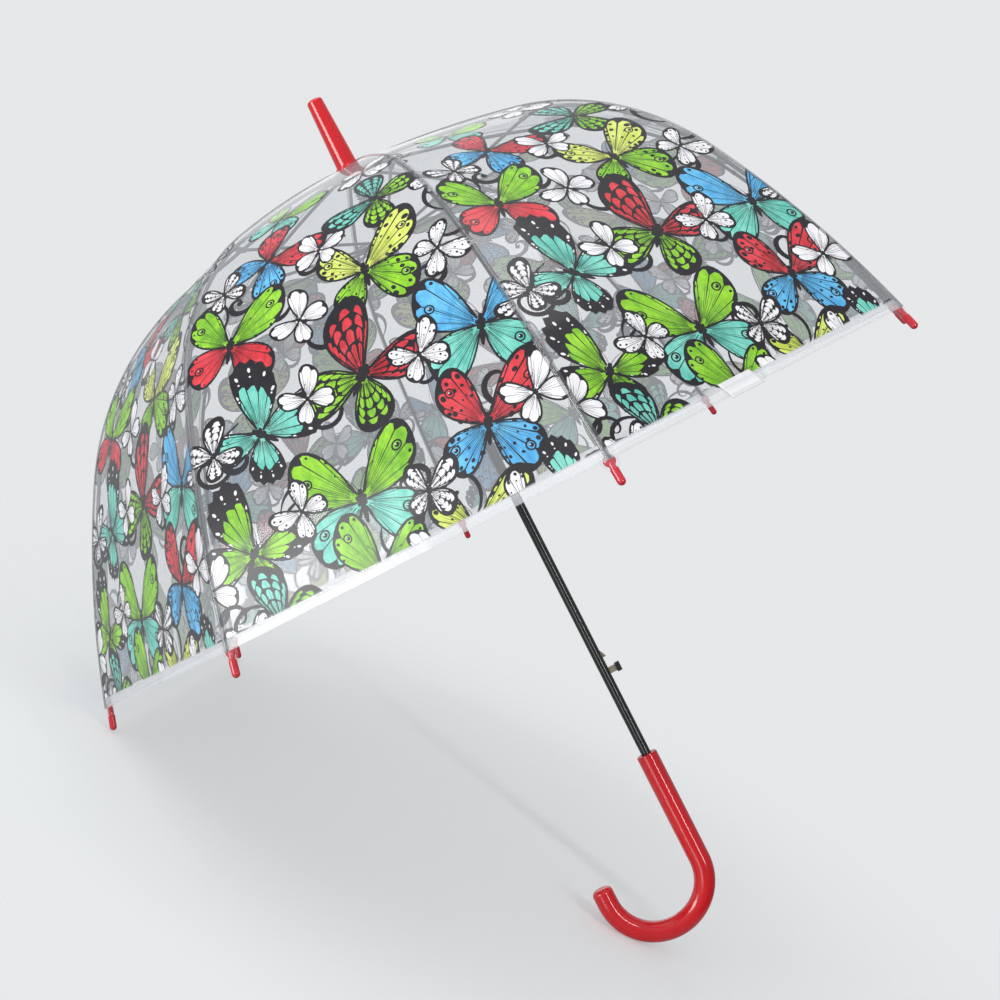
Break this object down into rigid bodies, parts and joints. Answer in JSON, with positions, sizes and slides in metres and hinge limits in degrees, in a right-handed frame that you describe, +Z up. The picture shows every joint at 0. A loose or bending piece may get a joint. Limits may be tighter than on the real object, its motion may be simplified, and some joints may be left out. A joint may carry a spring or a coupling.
{
  "type": "bubble umbrella",
  "caption": "Clear dome umbrella with a printed see-through canopy, bent ribs, a sliding spring-opened runner, a release lever and a hook handle.",
  "frame": {"origin": "on the shaft's axis at the middle of the straight grip", "axes": "+Z up the shaft to the ferrule; the hook turns towards -X; the release lever faces +X"},
  "size_m": [0.8044, 0.8044, 0.8193],
  "materials": {
    "shaft_paint": "gloss black",
    "red_plastic": "gloss red",
    "tip_plastic": "gloss red",
    "rib_steel": "gloss black",
    "stretcher_steel": "gloss black",
    "film": "clear",
    "print_ink": "printed film",
    "hem_film": "welded and embossed",
    "bright_wire": "bright",
    "black_plastic": "satin black",
    "lever_steel": "passivated",
    "spring_steel": "oiled"
  },
  "bodies": {
    "root": {"shaft": "shaft_paint", "handle": "red_plastic", "lever_pin": "bright_wire", "runner_stop": "bright_wire", "opening_spring": "spring_steel", "top_notch": "black_plastic", "notch_wire": "bright_wire", "film_crown": "film", "film_washer": "black_plastic", "ferrule": "red_plastic"},
    "runner": {"runner_tube": "black_plastic", "runner_hub": "black_plastic", "runner_wire": "bright_wire"},
    "lever": {"release_lever": "lever_steel", "button_cap": "black_plastic"},
    "rib_1": {"rib_1": "rib_steel", "tip_1": "tip_plastic"},
    "stretcher_1": {"stretcher_1": "stretcher_steel"},
    "gore_1a": {"gore_1a": "film"},
    "gore_1b": {"gore_1b": "film"},
    "rib_2": {"rib_2": "rib_steel", "tip_2": "tip_plastic"},
    "stretcher_2": {"stretcher_2": "stretcher_steel"},
    "gore_2a": {"gore_2a": "film"},
    "gore_2b": {"gore_2b": "film"},
    "rib_3": {"rib_3": "rib_steel", "tip_3": "tip_plastic"},
    "stretcher_3": {"stretcher_3": "stretcher_steel"},
    "gore_3a": {"gore_3a": "film"},
    "gore_3b": {"gore_3b": "film"},
    "rib_4": {"rib_4": "rib_steel", "tip_4": "tip_plastic"},
    "stretcher_4": {"stretcher_4": "stretcher_steel"},
    "gore_4a": {"gore_4a": "film"},
    "gore_4b": {"gore_4b": "film"},
    "rib_5": {"rib_5": "rib_steel", "tip_5": "tip_plastic"},
    "stretcher_5": {"stretcher_5": "stretcher_steel"},
    "gore_5a": {"gore_5a": "film"},
    "gore_5b": {"gore_5b": "film"},
    "rib_6": {"rib_6": "rib_steel", "tip_6": "tip_plastic"},
    "stretcher_6": {"stretcher_6": "stretcher_steel"},
    "gore_6a": {"gore_6a": "film"},
    "gore_6b": {"gore_6b": "film"},
    "rib_7": {"rib_7": "rib_steel", "tip_7": "tip_plastic"},
    "stretcher_7": {"stretcher_7": "stretcher_steel"},
    "gore_7a": {"gore_7a": "film", "strap_tab": "film"},
    "gore_7b": {"gore_7b": "film"},
    "rib_8": {"rib_8": "rib_steel", "tip_8": "tip_plastic"},
    "stretcher_8": {"stretcher_8": "stretcher_steel"},
    "gore_8a": {"gore_8a": "film"},
    "gore_8b": {"gore_8b": "film"}
  },
  "joints": [
    {"name": "runner_slide", "type": "slide", "parent": "root", "child": "runner", "axis": [0, 0, 1], "range_m": [-0.24617, 0], "stiffness_N_per_m": 110, "springref_m": 0.28, "deforming": ["opening_spring", "gore_1a", "gore_1b", "gore_2a", "gore_2b", "gore_3a", "gore_3b", "gore_4a", "gore_4b", "gore_5a", "gore_5b", "gore_6a", "gore_6b", "gore_7a", "gore_7b", "gore_8a", "gore_8b", "strap_tab"]},
    {"name": "lever_press", "type": "hinge", "parent": "root", "child": "lever", "pos_m": [0.0012, 0, 0.1], "axis": [0, -1, 0], "range_deg": [0, 3.9], "stiffness_Nm_per_rad": 4, "springref_deg": -2.86},
    {"name": "rib_fold_1", "type": "hinge", "parent": "root", "child": "rib_1", "pos_m": [0.01282, 0.00215, 0.64046], "axis": [-0.165, 0.9863, 0], "range_deg": [-0.01, 47.11]},
    {"name": "stretcher_fold_1", "type": "hinge", "parent": "rib_1", "child": "stretcher_1", "pos_m": [0.18608, 0.03114, 0.59532], "axis": [-0.165, 0.9863, 0], "range_deg": [-100.17, 0.01]},
    {"name": "film_fold_1a", "type": "hinge", "parent": "rib_1", "child": "gore_1a", "pos_m": [0.14586, 0.3724, 0.74221], "axis": [-0.943, 0.2985, 0.147], "range_deg": [-0.01, 23.85]},
    {"name": "film_fold_1b", "type": "hinge", "parent": "rib_1", "child": "gore_1b", "pos_m": [0.25916, -0.30462, 0.74221], "axis": [0.7945, 0.5892, -0.147], "range_deg": [-0.01, 23.85]},
    {"name": "rib_fold_2", "type": "hinge", "parent": "root", "child": "rib_2", "pos_m": [0.00755, 0.01058, 0.64046], "axis": [-0.8141, 0.5807, 0], "range_deg": [-0.01, 47.11]},
    {"name": "stretcher_fold_2", "type": "hinge", "parent": "rib_2", "child": "stretcher_2", "pos_m": [0.10956, 0.15359, 0.59532], "axis": [-0.8141, 0.5807, 0], "range_deg": [-100.17, 0.01]},
    {"name": "film_fold_2a", "type": "hinge", "parent": "rib_2", "child": "gore_2a", "pos_m": [-0.16019, 0.36647, 0.74221], "axis": [-0.8779, -0.4558, 0.147], "range_deg": [-0.01, 23.85]},
    {"name": "film_fold_2b", "type": "hinge", "parent": "rib_2", "child": "gore_2b", "pos_m": [0.39865, -0.03215, 0.74221], "axis": [0.1451, 0.9784, -0.147], "range_deg": [-0.01, 23.85]},
    {"name": "rib_fold_3", "type": "hinge", "parent": "root", "child": "rib_3", "pos_m": [-0.00215, 0.01282, 0.64046], "axis": [-0.9863, -0.165, 0], "range_deg": [-0.01, 47.11]},
    {"name": "stretcher_fold_3", "type": "hinge", "parent": "rib_3", "child": "stretcher_3", "pos_m": [-0.03114, 0.18608, 0.59532], "axis": [-0.9863, -0.165, 0], "range_deg": [-100.17, 0.01]},
    {"name": "film_fold_3a", "type": "hinge", "parent": "rib_3", "child": "gore_3a", "pos_m": [-0.3724, 0.14586, 0.74221], "axis": [-0.2985, -0.943, 0.147], "range_deg": [-0.01, 23.85]},
    {"name": "film_fold_3b", "type": "hinge", "parent": "rib_3", "child": "gore_3b", "pos_m": [0.30462, 0.25916, 0.74221], "axis": [-0.5892, 0.7945, -0.147], "range_deg": [-0.01, 23.85]},
    {"name": "rib_fold_4", "type": "hinge", "parent": "root", "child": "rib_4", "pos_m": [-0.01058, 0.00755, 0.64046], "axis": [-0.5807, -0.8141, 0], "range_deg": [-0.01, 47.11]},
    {"name": "stretcher_fold_4", "type": "hinge", "parent": "rib_4", "child": "stretcher_4", "pos_m": [-0.15359, 0.10956, 0.59532], "axis": [-0.5807, -0.8141, 0], "range_deg": [-100.17, 0.01]},
    {"name": "film_fold_4a", "type": "hinge", "parent": "rib_4", "child": "gore_4a", "pos_m": [-0.36647, -0.16019, 0.74221], "axis": [0.4558, -0.8779, 0.147], "range_deg": [-0.01, 23.85]},
    {"name": "film_fold_4b", "type": "hinge", "parent": "rib_4", "child": "gore_4b", "pos_m": [0.03215, 0.39865, 0.74221], "axis": [-0.9784, 0.1451, -0.147], "range_deg": [-0.01, 23.85]},
    {"name": "rib_fold_5", "type": "hinge", "parent": "root", "child": "rib_5", "pos_m": [-0.01282, -0.00215, 0.64046], "axis": [0.165, -0.9863, 0], "range_deg": [-0.01, 47.11]},
    {"name": "stretcher_fold_5", "type": "hinge", "parent": "rib_5", "child": "stretcher_5", "pos_m": [-0.18608, -0.03114, 0.59532], "axis": [0.165, -0.9863, 0], "range_deg": [-100.17, 0.01]},
    {"name": "film_fold_5a", "type": "hinge", "parent": "rib_5", "child": "gore_5a", "pos_m": [-0.14586, -0.3724, 0.74221], "axis": [0.943, -0.2985, 0.147], "range_deg": [-0.01, 23.85]},
    {"name": "film_fold_5b", "type": "hinge", "parent": "rib_5", "child": "gore_5b", "pos_m": [-0.25916, 0.30462, 0.74221], "axis": [-0.7945, -0.5892, -0.147], "range_deg": [-0.01, 23.85]},
    {"name": "rib_fold_6", "type": "hinge", "parent": "root", "child": "rib_6", "pos_m": [-0.00755, -0.01058, 0.64046], "axis": [0.8141, -0.5807, 0], "range_deg": [-0.01, 47.11]},
    {"name": "stretcher_fold_6", "type": "hinge", "parent": "rib_6", "child": "stretcher_6", "pos_m": [-0.10956, -0.15359, 0.59532], "axis": [0.8141, -0.5807, 0], "range_deg": [-100.17, 0.01]},
    {"name": "film_fold_6a", "type": "hinge", "parent": "rib_6", "child": "gore_6a", "pos_m": [0.16019, -0.36647, 0.74221], "axis": [0.8779, 0.4558, 0.147], "range_deg": [-0.01, 23.85]},
    {"name": "film_fold_6b", "type": "hinge", "parent": "rib_6", "child": "gore_6b", "pos_m": [-0.39865, 0.03215, 0.74221], "axis": [-0.1451, -0.9784, -0.147], "range_deg": [-0.01, 23.85]},
    {"name": "rib_fold_7", "type": "hinge", "parent": "root", "child": "rib_7", "pos_m": [0.00215, -0.01282, 0.64046], "axis": [0.9863, 0.165, 0], "range_deg": [-0.01, 47.11]},
    {"name": "stretcher_fold_7", "type": "hinge", "parent": "rib_7", "child": "stretcher_7", "pos_m": [0.03114, -0.18608, 0.59532], "axis": [0.9863, 0.165, 0], "range_deg": [-100.17, 0.01]},
    {"name": "film_fold_7a", "type": "hinge", "parent": "rib_7", "child": "gore_7a", "pos_m": [0.3724, -0.14586, 0.74221], "axis": [0.2985, 0.943, 0.147], "range_deg": [-0.01, 23.85]},
    {"name": "film_fold_7b", "type": "hinge", "parent": "rib_7", "child": "gore_7b", "pos_m": [-0.30462, -0.25916, 0.74221], "axis": [0.5892, -0.7945, -0.147], "range_deg": [-0.01, 23.85]},
    {"name": "rib_fold_8", "type": "hinge", "parent": "root", "child": "rib_8", "pos_m": [0.01058, -0.00755, 0.64046], "axis": [0.5807, 0.8141, 0], "range_deg": [-0.01, 47.11]},
    {"name": "stretcher_fold_8", "type": "hinge", "parent": "rib_8", "child": "stretcher_8", "pos_m": [0.15359, -0.10956, 0.59532], "axis": [0.5807, 0.8141, 0], "range_deg": [-100.17, 0.01]},
    {"name": "film_fold_8a", "type": "hinge", "parent": "rib_8", "child": "gore_8a", "pos_m": [0.36647, 0.16019, 0.74221], "axis": [-0.4558, 0.8779, 0.147], "range_deg": [-0.01, 23.85]},
    {"name": "film_fold_8b", "type": "hinge", "parent": "rib_8", "child": "gore_8b", "pos_m": [-0.03215, -0.39865, 0.74221], "axis": [0.9784, -0.1451, -0.147], "range_deg": [-0.01, 23.85]}
  ],
  "couplings": [
    {"joint": "rib_fold_1", "follows": "runner_slide", "rad_per_m": -3.3392},
    {"joint": "stretcher_fold_1", "follows": "runner_slide", "rad_per_m": 7.1015},
    {"joint": "film_fold_1a", "follows": "runner_slide", "rad_per_m": -1.6902},
    {"joint": "film_fold_1b", "follows": "runner_slide", "rad_per_m": -1.6902},
    {"joint": "rib_fold_2", "follows": "runner_slide", "rad_per_m": -3.3392},
    {"joint": "stretcher_fold_2", "follows": "runner_slide", "rad_per_m": 7.1015},
    {"joint": "film_fold_2a", "follows": "runner_slide", "rad_per_m": -1.6902},
    {"joint": "film_fold_2b", "follows": "runner_slide", "rad_per_m": -1.6902},
    {"joint": "rib_fold_3", "follows": "runner_slide", "rad_per_m": -3.3392},
    {"joint": "stretcher_fold_3", "follows": "runner_slide", "rad_per_m": 7.1015},
    {"joint": "film_fold_3a", "follows": "runner_slide", "rad_per_m": -1.6902},
    {"joint": "film_fold_3b", "follows": "runner_slide", "rad_per_m": -1.6902},
    {"joint": "rib_fold_4", "follows": "runner_slide", "rad_per_m": -3.3392},
    {"joint": "stretcher_fold_4", "follows": "runner_slide", "rad_per_m": 7.1015},
    {"joint": "film_fold_4a", "follows": "runner_slide", "rad_per_m": -1.6902},
    {"joint": "film_fold_4b", "follows": "runner_slide", "rad_per_m": -1.6902},
    {"joint": "rib_fold_5", "follows": "runner_slide", "rad_per_m": -3.3392},
    {"joint": "stretcher_fold_5", "follows": "runner_slide", "rad_per_m": 7.1015},
    {"joint": "film_fold_5a", "follows": "runner_slide", "rad_per_m": -1.6902},
    {"joint": "film_fold_5b", "follows": "runner_slide", "rad_per_m": -1.6902},
    {"joint": "rib_fold_6", "follows": "runner_slide", "rad_per_m": -3.3392},
    {"joint": "stretcher_fold_6", "follows": "runner_slide", "rad_per_m": 7.1015},
    {"joint": "film_fold_6a", "follows": "runner_slide", "rad_per_m": -1.6902},
    {"joint": "film_fold_6b", "follows": "runner_slide", "rad_per_m": -1.6902},
    {"joint": "rib_fold_7", "follows": "runner_slide", "rad_per_m": -3.3392},
    {"joint": "stretcher_fold_7", "follows": "runner_slide", "rad_per_m": 7.1015},
    {"joint": "film_fold_7a", "follows": "runner_slide", "rad_per_m": -1.6902},
    {"joint": "film_fold_7b", "follows": "runner_slide", "rad_per_m": -1.6902},
    {"joint": "rib_fold_8", "follows": "runner_slide", "rad_per_m": -3.3392},
    {"joint": "stretcher_fold_8", "follows": "runner_slide", "rad_per_m": 7.1015},
    {"joint": "film_fold_8a", "follows": "runner_slide", "rad_per_m": -1.6902},
    {"joint": "film_fold_8b", "follows": "runner_slide", "rad_per_m": -1.6902}
  ]
}
